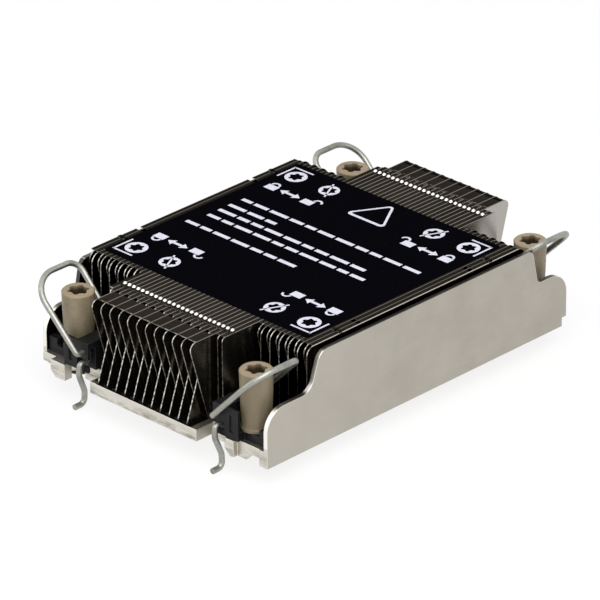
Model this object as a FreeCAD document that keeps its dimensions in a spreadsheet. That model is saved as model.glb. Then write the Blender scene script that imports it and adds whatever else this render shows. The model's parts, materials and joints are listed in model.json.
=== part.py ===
import FreeCAD
import Part
import Sketcher
import math
import os

# Passive 1U server CPU heatsink: a plate with two side walls and two tongues carries a stack of
# zipper fins, and each corner has a captive nut and a swinging anti-tilt wire.
# Millimetres. X is the width, Y the air's way, Z is up, and the floor is Z = 0 under the hooks.

CENTRE_FINS = 26    # fins that run out over the tongues, on both sides of X = 0
SIDE_FINS = 12      # shorter fins between the centre ones and each wall

SIZES = {
    # levels, measured up from the feet of the side walls
    "hook_drop": 5.5,          # the hooks reach this far below the feet
    "plate_rise": 4.3,
    "plate_thick": 2.4,
    "tongue_thick": 3.1,
    "pedestal_drop": 1.2,      # how far the contact pad stands out under the plate
    "stack_rise": 26.0,
    "crest_drop": 1.2,         # from the fins' tops down to the walls' crests
    "shoulder_rise": 15.1,
    "foot_notch_rise": 3.0,
    "axis_height": 5.3,        # the wires' hinge axis above the plate
    # captive nuts: their axes lead, and the other pieces keep their gaps from them
    "nut_span_x": 61.0,
    "nut_span_y": 96.4,
    "nut_radius": 4.15,        # at the top, from where the nut tapers down
    "nut_taper": 0.4,
    "nut_height": 15.5,
    "nut_edge": 0.3,
    "rim_step": 0.2,
    "rim_height": 0.7,
    "shank_step": 0.65,        # the nut's wall around the insert
    "shank_drop": 1.5,         # below the plate's underside
    "clip_groove": 0.3,
    "clip_lap": 0.5,           # of the clip under the plate, beyond the hole
    "clip_thick": 0.6,
    "clip_clearance": 0.08,
    "drive_radius": 2.2,
    "lobe_radius": 0.72,
    "lobe_place": 2.05,
    "drive_depth": 4.5,
    "insert_radius": 2.6,
    "insert_length": 10.0,
    "thread_radius": 1.75,
    "running_clearance": 0.05,
    # plate, tongues and corner ears
    "nut_to_ear": 4.9,         # from the nuts' axes out to the plate's ends
    "nut_to_notch": 2.3,       # and to the wall of the notch behind each wire
    "notch_rib": 1.4,
    "tongue_lead": 3.4,        # past the plate's ends
    "tongue_margin": 0.06,
    "ear_bevel": 1.9,
    "boss_inner_step": 1.5,    # the two broad bosses, from the nuts' axes inward
    "boss_width": 4.9,
    "boss_lead": 1.8,          # past the plate's ends
    "block_inner_step": 4.6,   # the two narrow ones beside the other wires
    "block_outer_step": 1.7,
    "block_lead": 1.4,
    "sill_outer_step": 2.9,    # and the low sills beside those
    "boss_chamfer": 1.6,
    "boss_gap": 0.15,          # between the clip's rim and whatever stands beside it
    "pedestal_width": 56.0,
    "pedestal_length": 72.0,
    "hole_clearance": 0.35,
    # side walls
    "nut_to_wall": 7.3,        # from the nuts' axes out to the walls' inner faces
    "wall_thick": 1.2,
    "foot_thick": 2.7,
    "front_lead": 0.2,         # of the walls' front ends past the plate
    "back_lag": 0.7,           # and of their back ends behind it
    "foot_notch": 1.5,
    "front_slope_gap": 3.2,    # from the wires' far legs to the foot of the front slope
    "front_slope_run": 3.2,
    "back_slope_gap": 0.2,
    "back_slope_run": 2.0,
    "shoulder_round": 6.0,
    "front_crest_round": 3.6,
    "front_valley_round": 4.2,
    "back_crest_round": 2.2,
    "back_valley_round": 1.6,
    # fins
    "fin_thick": 0.3,
    "fin_gap": 0.03,
    "stack_clearance": 0.165,
    "lower_inset": 0.6,        # the long fins whose foot leads, behind the tongue's end
    "upper_inset": 5.7,        # the feet of the others, behind those
    "upper_setback": 0.15,     # the leading tops, behind the tongue's end
    "upper_lip_inset": 2.45,
    "upper_round": 1.7,
    "top_step": 8.15,          # from the leading tops back to the other ones
    "plain_round": 1.0,
    "side_gap": 3.3,           # between the wires' far legs and the side fins
    "side_slant": 4.8,         # every second side fin slants back by this at its foot
    "side_round": 2.4,
    "lip_setback": 0.2,
    "wide_lip_gap": 0.25,
    "lock_step": 3.6,
    "lock_length": 1.1,
    "lock_height": 0.35,
    "lock_inset": 0.2,
    "side_lock_step": 11.9,
    "side_slot_step": 18.7,
    "side_slot_length": 1.6,
    # label
    "label_left_gap": 0.145,   # past the last fin but one
    "label_right_gap": 0.725,  # short of the last fin but two
    "label_end_gap": 4.2,
    "label_thick": 0.15,
    "label_round": 1.0,
    # retainers
    "floor_thick": 2.2,
    "floor_inner": 5.0,
    "floor_back": 4.8,
    "floor_front": 3.5,
    "free_gap": 0.2,
    "tower_inner_wall": 1.55,  # from the wires' axis inward
    "tower_outer_wall": 2.5,
    "tower_back": 4.7,
    "axis_cover": 1.0,         # from the wires' axis up to the underside of the bridge
    "bridge_height": 1.6,
    "cheek_thick": 0.8,
    "cheek_outer": 0.6,
    "cheek_foot": 1.5,
    "window_reach": 2.25,      # of the cheek's window, from the wires' axis outward
    "window_low": 1.4,
    "window_high": 3.5,
    "rib_width": 1.6,
    "groove_width": 1.4,
    "groove_depth": 0.4,
    "groove_foot": 1.5,
    "block_width": 2.8,
    "block_depth": 2.0,
    "block_height": 4.0,
    "post_width": 0.7,
    "post_gap": 0.5,
    "post_front": 1.2,
    "post_height": 7.5,
    # anti-tilt wires
    "wire_radius": 0.75,
    "axis_gap": 3.22,          # from the last gap of the long fins out to the hinge axis
    "near_gap": 3.6,           # between the nut and each leg's middle
    "far_gap": 2.45,
    "leg_splay": 0.55,         # how far each leg leans away from the nut over its length
    "cheek_gap": 1.95,         # from the near leg to the cheek
    "stub_length": 2.8,        # inside the tower
    "return_drop": 3.0,        # heights below the hinge axis, down along the stem
    "bow_drop": 5.9,
    "back_drop": 10.85,
    "stem_inset": 0.95,        # places along Y, behind the near leg
    "bow_inset": 0.6,
    "back_inset": 2.6,
    "hook_lead": 0.75,         # and past it
    "loop_reach": 21.7,
    "near_round": 7.0,
    "far_round": 3.5,
    "tight_round": 0.8,
    "stem_round": 3.0,
    "hook_round": 1.6,
}
LOOP_LEAN = 45.3    # degrees above level: the locked, outward rest of the wires
STEM_LEAN = 2.8     # degrees out from upright, below the hinge axis


class Size:
    """A length that keeps its value together with the sheet formula that drives it."""

    def __init__(self, number, text):
        self.number = number
        self.text = text

    def __add__(self, other):
        other = as_size(other)
        return Size(self.number + other.number, f"({self.text} + {other.text})")

    def __sub__(self, other):
        other = as_size(other)
        return Size(self.number - other.number, f"({self.text} - {other.text})")

    def __mul__(self, factor):
        return Size(self.number * factor, f"({self.text} * {factor})")

    def __neg__(self):
        return self * -1


def as_size(thing):
    return thing if isinstance(thing, Size) else Size(float(thing), str(float(thing)))


doc = FreeCAD.newDocument("heatsink")
sheet = doc.addObject("Spreadsheet::Sheet", "Sizes")
for row, (alias, amount) in enumerate(SIZES.items(), start=1):
    sheet.set(f"A{row}", alias)
    sheet.set(f"B{row}", str(amount))
    sheet.setAlias(f"B{row}", alias)
doc.recompute()


def size(alias):
    return Size(SIZES[alias], f"Sizes.{alias}")


# Levels and places that several pieces share.
FOOT = size("hook_drop")
PLATE_TOP = FOOT + size("plate_rise")
PLATE_UNDER = PLATE_TOP - size("plate_thick")
STACK_TOP = FOOT + size("stack_rise")
AXIS = PLATE_TOP + size("axis_height")
NUT_X = size("nut_span_x") * 0.5
NUT_Y = size("nut_span_y") * 0.5
NUT_SEAT = PLATE_TOP + size("floor_thick")
NUT_TOP = NUT_SEAT + size("nut_height")
SHANK_END = PLATE_UNDER - size("shank_drop")
SHANK = size("insert_radius") + size("shank_step")
HOLE = SHANK + size("hole_clearance")
CLIP_BORE = SHANK - size("clip_groove")
CLIP_RIM = HOLE + size("clip_lap")
WALL_INNER = NUT_X + size("nut_to_wall")
WALL_OUTER = WALL_INNER + size("wall_thick")
EAR = NUT_Y + size("nut_to_ear")
NOTCH = NUT_Y + size("nut_to_notch")
TONGUE = EAR + size("tongue_lead")
FIN_HALF = size("fin_thick") * 0.5
LAST_FIN = WALL_INNER - size("stack_clearance") - FIN_HALF
FIN_PITCH = LAST_FIN * (1 / (CENTRE_FINS / 2 + SIDE_FINS - 0.5))
LOWER_ROOT = TONGUE - size("lower_inset")
UPPER_ROOT = LOWER_ROOT - size("upper_inset")
UPPER_TOP = TONGUE - size("upper_setback")
LOWER_TOP = UPPER_TOP - size("top_step")
AXIS_X = FIN_PITCH * (CENTRE_FINS / 2) + size("axis_gap")
NEAR_LEG = NUT_Y + size("nut_radius") + size("near_gap")
FAR_LEG = NUT_Y - size("nut_radius") - size("far_gap")
SIDE_REACH = FAR_LEG - size("side_gap")
CHEEK_FRONT = NEAR_LEG - size("cheek_gap")
CHEEK_BACK = CHEEK_FRONT - size("cheek_thick")
WIRE_DROP = CHEEK_BACK - size("tight_round") - size("running_clearance") * 2
BORE = size("wire_radius") + size("running_clearance")
CORNERS = {
    "front_left": (-1, -1),
    "front_right": (1, -1),
    "back_left": (-1, 1),
    "back_right": (1, 1),
}
parts = []


# ---------------------------------------------------------------- document helpers

def new_body(name):
    body = doc.addObject("PartDesign::Body", name)
    body.Label = name
    return body


def bind(thing, prop, length):
    thing.setExpression(prop, as_size(length).text)


def origin_feature(body, role):
    return next(part for part in body.Origin.OriginFeatures if part.Role == role)


def new_sketch(body, role, offset=None):
    """A sketch on one of the body's origin planes, moved along its normal by an offset."""
    sketch = body.newObject("Sketcher::SketchObject", f"{body.Label}_sketch")
    sketch.AttachmentSupport = [(origin_feature(body, role), "")]
    sketch.MapMode = "FlatFace"
    if offset is not None:
        bind(sketch, ".AttachmentOffset.Base.z", offset)
    return sketch


def pin_point(sketch, geometry, place, at):
    """Holds one point of the sketch at a pair of driven distances from its origin."""
    for kind, length in zip(("DistanceX", "DistanceY"), at):
        length = as_size(length)
        rule = Sketcher.Constraint(kind, -1, 1, geometry, place, length.number)
        index = sketch.addConstraint(rule)
        sketch.setExpression(f"Constraints[{index}]", length.text)


def add_outline(sketch, points):
    """A closed outline of straight lines through driven points."""
    points = [(as_size(across), as_size(up)) for across, up in points]
    spots = [FreeCAD.Vector(across.number, up.number, 0) for across, up in points]
    first = sketch.GeometryCount
    for start, end in zip(spots, spots[1:] + spots[:1]):
        sketch.addGeometry(Part.LineSegment(start, end))
    for step in range(len(points)):
        following = first + (step + 1) % len(points)
        sketch.addConstraint(Sketcher.Constraint("Coincident", first + step, 2, following, 1))
    for step, point in enumerate(points):
        pin_point(sketch, first + step, 1, point)


def add_box_outline(sketch, left, right, low, high):
    add_outline(sketch, [(left, low), (right, low), (right, high), (left, high)])


def add_circle(sketch, across, up, radius):
    centre = FreeCAD.Vector(as_size(across).number, as_size(up).number, 0)
    ring = sketch.addGeometry(Part.Circle(centre, FreeCAD.Vector(0, 0, 1), radius.number))
    pin_point(sketch, ring, 3, (across, up))
    index = sketch.addConstraint(Sketcher.Constraint("Radius", ring, radius.number))
    sketch.setExpression(f"Constraints[{index}]", radius.text)


def pad(body, sketch, length, reverse=False, centred=False):
    feature = body.newObject("PartDesign::Pad", f"{body.Label}_pad")
    feature.Profile = sketch
    bind(feature, "Length", length)
    feature.Reversed = reverse
    feature.Midplane = centred
    return feature


def pocket(body, sketch, depth, reverse=False):
    feature = body.newObject("PartDesign::Pocket", f"{body.Label}_pocket")
    feature.Profile = sketch
    bind(feature, "Length", depth)
    feature.Reversed = reverse
    return feature


def edges_along(body, axis, places, spread=0.01):
    """Names of the tip's straight edges along an axis that pass through the given places."""
    names = []
    for number, edge in enumerate(body.Tip.Shape.Edges, start=1):
        if len(edge.Vertexes) != 2:
            continue
        ends = [FreeCAD.Vector(vertex.Point) for vertex in edge.Vertexes]
        run = ends[1] - ends[0]
        flat = [abs(run[other]) < spread for other in range(3) if other != axis]
        if not all(flat) or abs(run[axis]) < spread:
            continue
        here = [ends[0][other] for other in range(3) if other != axis]
        if any(abs(here[0] - a) < spread and abs(here[1] - b) < spread for a, b in places):
            names.append(f"Edge{number}")
    return names


def dress(body, kind, prop, names, amount):
    """A Fillet or Chamfer of one size on the named edges."""
    base = body.Tip
    feature = body.newObject(f"PartDesign::{kind}", f"{body.Label}_{kind.lower()}")
    feature.Base = (base, names)
    bind(feature, prop, amount)
    body.Tip = feature
    doc.recompute()


def polar_pattern(body, originals, times):
    feature = body.newObject("PartDesign::PolarPattern", f"{body.Label}_pattern")
    feature.Originals = originals
    feature.Axis = (origin_feature(body, "Z_Axis"), [""])
    feature.Angle = 360
    feature.Occurrences = times
    body.Tip = feature
    doc.recompute()


def place(thing, across, along, up):
    for letter, length in zip("xyz", (across, along, up)):
        bind(thing, f".Placement.Base.{letter}", length)


# ---------------------------------------------------------------- plate, tongues and walls

def half_turned(points):
    """The points followed by their copies turned by half a turn about Z."""
    return points + [(-x, -y) for x, y in points]


def make_base():
    body = new_body("base")
    tongue = FIN_PITCH * (CENTRE_FINS / 2 - 1) - size("tongue_margin")
    rim = WALL_OUTER - size("wall_thick") * 0.5
    boss_inner = NUT_X - size("boss_inner_step")
    boss_outer = boss_inner + size("boss_width")
    block_inner = NUT_X - size("block_inner_step")
    block_outer = NUT_X - size("block_outer_step")
    sill_outer = NUT_X + size("sill_outer_step")

    # From the back right ear, where a broad boss stands, to the back left one with a narrow block.
    plate = new_sketch(body, "XY_Plane", PLATE_UNDER)
    add_outline(plate, half_turned([
        (rim, EAR),
        (boss_inner, EAR),
        (boss_inner, NOTCH + size("ear_bevel")),
        (boss_inner - size("ear_bevel"), NOTCH),
        (-block_inner, NOTCH),
        (-block_inner, EAR),
        (-rim, EAR),
    ]))
    pad(body, plate, size("plate_thick"))

    tongues = new_sketch(body, "XY_Plane", PLATE_TOP)
    add_box_outline(tongues, -tongue, tongue, -TONGUE, TONGUE)
    pad(body, tongues, size("tongue_thick"), reverse=True)

    pedestal = new_sketch(body, "XY_Plane", PLATE_UNDER)
    half_width = size("pedestal_width") * 0.5
    half_length = size("pedestal_length") * 0.5
    add_box_outline(pedestal, -half_width, half_width, -half_length, half_length)
    pad(body, pedestal, size("pedestal_drop"), reverse=True)

    lumps = new_sketch(body, "XY_Plane", PLATE_TOP)
    clip_side = CLIP_RIM + size("boss_gap")
    lump_back = NUT_Y + clip_side
    boss_front = EAR + size("boss_lead")
    block_front = EAR + size("block_lead")
    for turn in (1, -1):
        add_box_outline(lumps, boss_inner * turn, boss_outer * turn, lump_back * turn, boss_front * turn)
        add_outline(lumps, [(across * -turn, along * turn) for across, along in (
            (block_inner, lump_back),
            (sill_outer, lump_back),
            (sill_outer, EAR),
            (block_outer, EAR),
            (block_outer, block_front),
            (block_inner, block_front),
        )])
    for side, end in CORNERS.values():
        add_box_outline(lumps, tongue * side, (NUT_X - clip_side) * side,
                        (NOTCH - size("notch_rib")) * end, NOTCH * end)
    pad(body, lumps, size("plate_rise"), reverse=True)
    doc.recompute()
    foot = FOOT.number
    spots = [(boss_outer.number, foot), (-block_inner.number, foot), (-sill_outer.number, foot)]
    lower_edges = edges_along(body, 1, [(turn * x, z) for x, z in spots for turn in (1, -1)])
    dress(body, "Chamfer", "Size", lower_edges, size("boss_chamfer"))

    shoulder = FOOT + size("shoulder_rise")
    crest = STACK_TOP - size("crest_drop")
    front = EAR + size("front_lead")
    back = EAR - size("back_lag")
    foot_back = back - size("foot_notch")
    front_low = FAR_LEG - size("front_slope_gap")
    back_low = FAR_LEG + size("back_slope_gap")
    profile = [
        (-front, FOOT),
        (foot_back, FOOT),
        (foot_back, FOOT + size("foot_notch_rise")),
        (back, FOOT + size("foot_notch_rise")),
        (back, shoulder),
        (back_low, shoulder),
        (back_low - size("back_slope_run"), crest),
        (size("front_slope_run") - front_low, crest),
        (-front_low, shoulder),
        (-front, shoulder),
    ]
    wall = new_sketch(body, "YZ_Plane", WALL_INNER)
    add_outline(wall, profile)
    wall_pad = pad(body, wall, size("wall_thick"))
    foot_rib = new_sketch(body, "YZ_Plane", WALL_OUTER)
    add_box_outline(foot_rib, -front, foot_back, FOOT, PLATE_TOP)
    foot_pad = pad(body, foot_rib, size("foot_thick"), reverse=True)
    doc.recompute()
    polar_pattern(body, [wall_pad, foot_pad], 2)

    rounds = {
        "shoulder_round": [profile[4], profile[9]],
        "back_valley_round": [profile[5]],
        "back_crest_round": [profile[6]],
        "front_crest_round": [profile[7]],
        "front_valley_round": [profile[8]],
    }
    for alias, corners in rounds.items():
        spots = [(turn * y.number, z.number) for y, z in corners for turn in (1, -1)]
        dress(body, "Fillet", "Radius", edges_along(body, 0, spots), size(alias))

    holes = new_sketch(body, "XY_Plane", PLATE_TOP)
    for side, end in CORNERS.values():
        add_circle(holes, NUT_X * side, NUT_Y * end, HOLE)
    pocket(body, holes, size("plate_rise"))
    parts.append(body)


# ---------------------------------------------------------------- fins

def make_fin(name, number, root, top, rounding, leads=False, wide_lip=False, narrow=False,
             locks=(), slots=()):
    """One folded fin at a place in the row. Its web stands in YZ, its flanges point to -X."""
    body = new_body(name)
    place(body, FIN_PITCH * (number + 0.5), 0, 0)
    thick = size("fin_thick")

    web = new_sketch(body, "YZ_Plane")
    add_outline(web, [(-root, PLATE_TOP), (root, PLATE_TOP), (top, STACK_TOP), (-top, STACK_TOP)])
    pad(body, web, thick, centred=True)
    doc.recompute()
    spots = [(turn * top.number, STACK_TOP.number) for turn in (1, -1)]
    dress(body, "Fillet", "Radius", edges_along(body, 0, spots), rounding)

    reach = FIN_PITCH - FIN_HALF - size("fin_gap")
    lip = top - (size("upper_lip_inset") if wide_lip else rounding) - size("lip_setback")
    lip_under = STACK_TOP - thick
    flange = new_sketch(body, "YZ_Plane")
    inner_lip = LOWER_TOP - size("lip_setback") if leads else lip
    add_box_outline(flange, -inner_lip, inner_lip, lip_under, STACK_TOP)
    pad(body, flange, reach, reverse=True)
    if wide_lip:
        ends = new_sketch(body, "YZ_Plane")
        start = LOWER_TOP + size("wide_lip_gap")
        add_box_outline(ends, start, lip, lip_under, STACK_TOP)
        add_box_outline(ends, -lip, -start, lip_under, STACK_TOP)
        pad(body, ends, reach + FIN_PITCH, reverse=True)
    if not narrow:
        seat = new_sketch(body, "YZ_Plane")
        foot_end = root - size("lip_setback")
        add_box_outline(seat, -foot_end, foot_end, PLATE_TOP, PLATE_TOP + thick)
        pad(body, seat, reach, reverse=True)
    if locks:
        tabs = new_sketch(body, "XY_Plane", STACK_TOP)
        half = size("lock_length") * 0.5
        for spot in locks:
            add_box_outline(tabs, size("lock_inset") - reach, -size("lock_inset"), spot - half, spot + half)
        pad(body, tabs, size("lock_height"))
    if slots:
        cuts = new_sketch(body, "XY_Plane", STACK_TOP)
        half = size("side_slot_length") * 0.5
        for spot in slots:
            add_box_outline(cuts, -reach, -thick, spot - half, spot + half)
        pocket(body, cuts, thick)
    doc.recompute()
    return body


def make_centre_fins():
    """The long fins: tops and feet lead in turn, and square fins close the group."""
    first = -CENTRE_FINS // 2
    lock = LOWER_TOP - size("lock_step")
    for order in range(CENTRE_FINS):
        name = f"long_fin_{order + 1:02d}"
        number = first + order
        at_edge = order == 0 or order >= CENTRE_FINS - 2
        tabs = (lock, -lock) if order else ()
        if at_edge:
            fin = make_fin(name, number, LOWER_TOP, LOWER_TOP, size("plain_round"), locks=tabs)
        elif order % 2:
            fin = make_fin(name, number, UPPER_ROOT, UPPER_TOP, size("upper_round"), leads=True,
                           wide_lip=order > 1, locks=tabs)
        else:
            fin = make_fin(name, number, LOWER_ROOT, LOWER_TOP, size("plain_round"), locks=tabs)
        parts.append(fin)


def make_side_fins(name, first, outermost):
    """The short fins on one side of the stack, as one group of separate solids."""
    members = []
    lock = SIDE_REACH - size("side_lock_step")
    slot = SIDE_REACH - size("side_slot_step")
    for order in range(SIDE_FINS):
        number = first + order
        root = SIDE_REACH if order % 2 else SIDE_REACH - size("side_slant")
        uncovered = number in outermost
        locks = (lock, -lock) if uncovered else ()
        slots = (slot, -slot) if uncovered else ()
        fin = make_fin(f"{name}_{order + 1:02d}", number, root, SIDE_REACH, size("side_round"),
                       narrow=number == -CENTRE_FINS // 2 - SIDE_FINS, locks=locks, slots=slots)
        members.append(fin)
    group = doc.addObject("Part::Compound", name)
    group.Label = name
    group.Links = members
    parts.append(group)


# ---------------------------------------------------------------- label

def make_label():
    body = new_body("label")
    place(body, 0, 0, STACK_TOP)
    film = new_sketch(body, "XY_Plane")
    left = FIN_PITCH - LAST_FIN - size("label_left_gap")
    right = LAST_FIN - FIN_PITCH * 2 - size("label_right_gap")
    half_length = SIDE_REACH - size("label_end_gap")
    add_box_outline(film, left, right, -half_length, half_length)
    pad(body, film, size("label_thick"))
    doc.recompute()
    spots = [(x.number, y * half_length.number) for x in (left, right) for y in (1, -1)]
    dress(body, "Fillet", "Radius", edges_along(body, 2, spots), size("label_round"))
    parts.append(body)


# ---------------------------------------------------------------- captive nuts

def make_nut(corner, side, end):
    """A plastic nut: a turned body with a six-lobe drive above and a metal insert below."""
    body = new_body(f"nut_{corner}")
    place(body, NUT_X * side, NUT_Y * end, 0)
    clip_top = PLATE_UNDER - size("clip_clearance")
    clip_under = clip_top - size("clip_thick")
    rim_top = NUT_SEAT + size("rim_height")
    neck = size("nut_radius") - size("nut_taper")
    rim = neck + size("rim_step")
    edge = size("nut_edge")
    core_top = SHANK_END + size("insert_length")
    half = new_sketch(body, "XZ_Plane")
    add_outline(half, [
        (size("insert_radius"), SHANK_END),
        (SHANK, SHANK_END),
        (SHANK, clip_under),
        (CLIP_BORE, clip_under),
        (CLIP_BORE, clip_top),
        (SHANK, clip_top),
        (SHANK, NUT_SEAT),
        (rim, NUT_SEAT),
        (rim, rim_top),
        (neck, rim_top + edge),
        (size("nut_radius"), NUT_TOP - edge),
        (size("nut_radius") - edge, NUT_TOP),
        (0, NUT_TOP),
        (0, core_top),
        (size("insert_radius"), core_top),
    ])
    turned = body.newObject("PartDesign::Revolution", f"{body.Label}_turned")
    turned.Profile = half
    turned.ReferenceAxis = (half, ["V_Axis"])
    turned.Angle = 360
    doc.recompute()

    core = new_sketch(body, "XY_Plane", NUT_TOP)
    add_circle(core, 0, 0, size("drive_radius"))
    pocket(body, core, size("drive_depth"))
    lobe = new_sketch(body, "XY_Plane", NUT_TOP)
    add_circle(lobe, size("lobe_place"), 0, size("lobe_radius"))
    lobe_pocket = pocket(body, lobe, size("drive_depth"))
    doc.recompute()
    polar_pattern(body, [lobe_pocket], 6)
    parts.append(body)


def make_tube(name, across, along, low, outer, inner, height):
    """A plain ring or sleeve made from two cylinders."""
    rod = doc.addObject("Part::Cylinder", f"{name}_rod")
    bore = doc.addObject("Part::Cylinder", f"{name}_bore")
    for cylinder, radius in ((rod, outer), (bore, inner)):
        bind(cylinder, "Radius", radius)
        bind(cylinder, "Height", height)
    ring = doc.addObject("Part::Cut", name)
    ring.Label = name
    ring.Base = rod
    ring.Tool = bore
    place(ring, across, along, low)
    parts.append(ring)


def make_insert(corner, side, end):
    make_tube(f"insert_{corner}", NUT_X * side, NUT_Y * end, SHANK_END,
              size("insert_radius"), size("thread_radius"), size("insert_length"))


def make_clip(corner, side, end):
    low = PLATE_UNDER - size("clip_clearance") - size("clip_thick")
    make_tube(f"clip_{corner}", NUT_X * side, NUT_Y * end, low,
              CLIP_RIM, CLIP_BORE, size("clip_thick"))


# ---------------------------------------------------------------- retainers

def make_retainer(corner, side, end):
    """The moulded corner piece: a floor under the nut and a tower that holds the wire."""
    body = new_body(f"retainer_{corner}")
    place(body, NUT_X * side, NUT_Y * end, PLATE_TOP)
    outer = WALL_INNER - NUT_X - size("free_gap")
    axis_in = AXIS_X - NUT_X
    axis_up = AXIS - PLATE_TOP
    cheek_back = CHEEK_BACK - NUT_Y
    cheek_front = CHEEK_FRONT - NUT_Y
    tower_front = WIRE_DROP - NUT_Y - size("wire_radius") - size("free_gap")
    tower_inner = axis_in - size("tower_inner_wall")
    tower_outer = axis_in + size("tower_outer_wall")
    bridge = axis_up + size("axis_cover")
    height = bridge + size("bridge_height")
    cheek_end = -size("cheek_outer")

    def raise_box(left, right, back, front, low, high):
        sketch = new_sketch(body, "XY_Plane", low)
        add_box_outline(sketch, left * side, right * side, back * end, front * end)
        pad(body, sketch, high - low)

    def sink_box(left, right, back, front, low, high):
        sketch = new_sketch(body, "XY_Plane", high)
        add_box_outline(sketch, left * side, right * side, back * end, front * end)
        pocket(body, sketch, high - low)

    def bore(front, depth):
        # A sketch on XZ looks along -Y, so depths toward the middle run with or against that.
        sketch = new_sketch(body, "XZ_Plane", front * -end)
        add_circle(sketch, axis_in * side, axis_up, BORE)
        pocket(body, sketch, depth, reverse=end > 0)

    zero = as_size(0)
    raise_box(-size("floor_inner"), outer, -size("floor_back"), size("floor_front"),
              zero, size("floor_thick"))
    raise_box(tower_inner, tower_outer, -size("tower_back"), tower_front, zero, height)
    raise_box(tower_inner, tower_outer, -size("tower_back"), cheek_front, bridge, height)
    raise_box(tower_inner, cheek_end, cheek_back, cheek_front, zero, height)
    raise_box(cheek_end - size("cheek_foot"), cheek_end, zero, cheek_front, zero, size("floor_thick"))
    raise_box(outer - size("block_width"), outer, size("floor_front") - size("block_depth"),
              size("floor_front"), zero, size("block_height"))
    post_outer = outer - size("post_gap")
    raise_box(post_outer - size("post_width"), post_outer, size("post_front") - size("post_width"),
              size("post_front"), zero, size("post_height"))
    sink_box(tower_inner, axis_in + size("window_reach"), cheek_back, cheek_front,
             size("window_low"), size("window_high"))
    groove_end = cheek_end - size("rib_width")
    sink_box(groove_end - size("groove_width"), groove_end, cheek_front - size("groove_depth"),
             cheek_front, size("groove_foot"), bridge)

    bore(cheek_front, size("cheek_thick"))
    bore(size("stub_length") + size("free_gap") - size("tower_back"), size("stub_length") + size("free_gap"))

    nut_hole = new_sketch(body, "XY_Plane", size("floor_thick"))
    add_circle(nut_hole, 0, 0, SHANK + size("running_clearance"))
    pocket(body, nut_hole, size("floor_thick"))
    parts.append(body)


# ---------------------------------------------------------------- anti-tilt wires

def rounded_path(corners, radii):
    """Lines and tangent arcs through the corners, one radius for each inner corner."""
    edges = []
    start = corners[0]
    for before, corner, after, radius in zip(corners, corners[1:], corners[2:], radii):
        inward = (before - corner).normalize()
        outward = (after - corner).normalize()
        half_angle = inward.getAngle(outward) / 2
        cut = radius / math.tan(half_angle)
        centre = corner + (inward + outward).normalize() * (radius / math.sin(half_angle))
        arc_start = corner + inward * cut
        arc_end = corner + outward * cut
        arc_middle = centre + (corner - centre).normalize() * radius
        if (arc_start - start).Length > 1e-6:
            edges.append(Part.makeLine(start, arc_start))
        edges.append(Part.Arc(arc_start, arc_middle, arc_end).toShape())
        start = arc_end
    edges.append(Part.makeLine(start, corners[-1]))
    return Part.Wire(edges)


def make_wire(corner, side, end):
    """A bent spring wire: stub, far leg, loop over the nut, near leg, axis, stem and hook."""
    lean = math.radians(LOOP_LEAN)
    near = NEAR_LEG.number
    far = FAR_LEG.number
    inside = WIRE_DROP.number
    floor = AXIS.number - SIZES["wire_radius"]

    def in_loop(along, reach):
        return FreeCAD.Vector(side * reach * math.cos(lean), end * along, reach * math.sin(lean))

    def in_stem(along, drop):
        out = drop * math.tan(math.radians(STEM_LEAN))
        return FreeCAD.Vector(side * out, end * along, -drop)

    stub_end = NUT_Y.number - SIZES["tower_back"] + SIZES["stub_length"]
    stem_back = near - SIZES["back_inset"]
    corners = [
        in_loop(stub_end, 0),
        in_loop(far, 0),
        in_loop(far - SIZES["leg_splay"], SIZES["loop_reach"]),
        in_loop(near + SIZES["leg_splay"], SIZES["loop_reach"]),
        in_loop(near, 0),
        in_stem(inside, 0),
        in_stem(inside, SIZES["return_drop"]),
        in_stem(near - SIZES["stem_inset"], SIZES["return_drop"]),
        in_stem(near - SIZES["bow_inset"], SIZES["bow_drop"]),
        in_stem(stem_back, SIZES["back_drop"]),
        in_stem(stem_back, floor),
        in_stem(near + SIZES["hook_lead"], floor),
    ]
    bends = ["tight_round", "far_round", "near_round", "tight_round", "tight_round", "tight_round",
             "tight_round", "stem_round", "stem_round", "hook_round"]
    radii = [SIZES[bend] for bend in bends]
    spine = doc.addObject("Part::Feature", f"wire_{corner}_spine")
    spine.Shape = rounded_path(corners, radii)
    section = doc.addObject("Part::Circle", f"wire_{corner}_section")
    bind(section, "Radius", size("wire_radius"))
    turn = FreeCAD.Rotation(FreeCAD.Vector(0, 0, 1), FreeCAD.Vector(0, 1, 0))
    section.Placement = FreeCAD.Placement(corners[0], turn)
    wire = doc.addObject("Part::Sweep", f"wire_{corner}")
    wire.Label = f"wire_{corner}"
    wire.Sections = [section]
    wire.Spine = (spine, [f"Edge{number + 1}" for number in range(len(spine.Shape.Edges))])
    wire.Solid = True
    wire.Frenet = False
    place(wire, AXIS_X * side, 0, AXIS)
    parts.append(wire)


# ---------------------------------------------------------------- build and export

make_base()
make_centre_fins()
first_left = -CENTRE_FINS // 2 - SIDE_FINS
first_right = CENTRE_FINS // 2
make_side_fins("side_fins_left", first_left, (first_left, first_left + 1))
make_side_fins("side_fins_right", first_right, (first_right + SIDE_FINS - 2, first_right + SIDE_FINS - 1))
make_label()
for corner, (side, end) in CORNERS.items():
    make_retainer(corner, side, end)
    make_nut(corner, side, end)
    make_insert(corner, side, end)
    make_clip(corner, side, end)
    make_wire(corner, side, end)
doc.recompute()

os.makedirs("parts", exist_ok=True)
for thing in doc.Objects:
    if "Invalid" in thing.State or "Error" in thing.State:
        raise RuntimeError(f"{thing.Label} did not build: {thing.State}")
for part in parts:
    if part.Shape.isNull() or not part.Shape.isValid():
        raise RuntimeError(f"{part.Label} has no valid shape")
    part.Shape.exportStep(f"parts/{part.Label}.step")
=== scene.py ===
import json
import math

import bmesh
import bpy
from mathutils import Matrix, Vector


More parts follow.
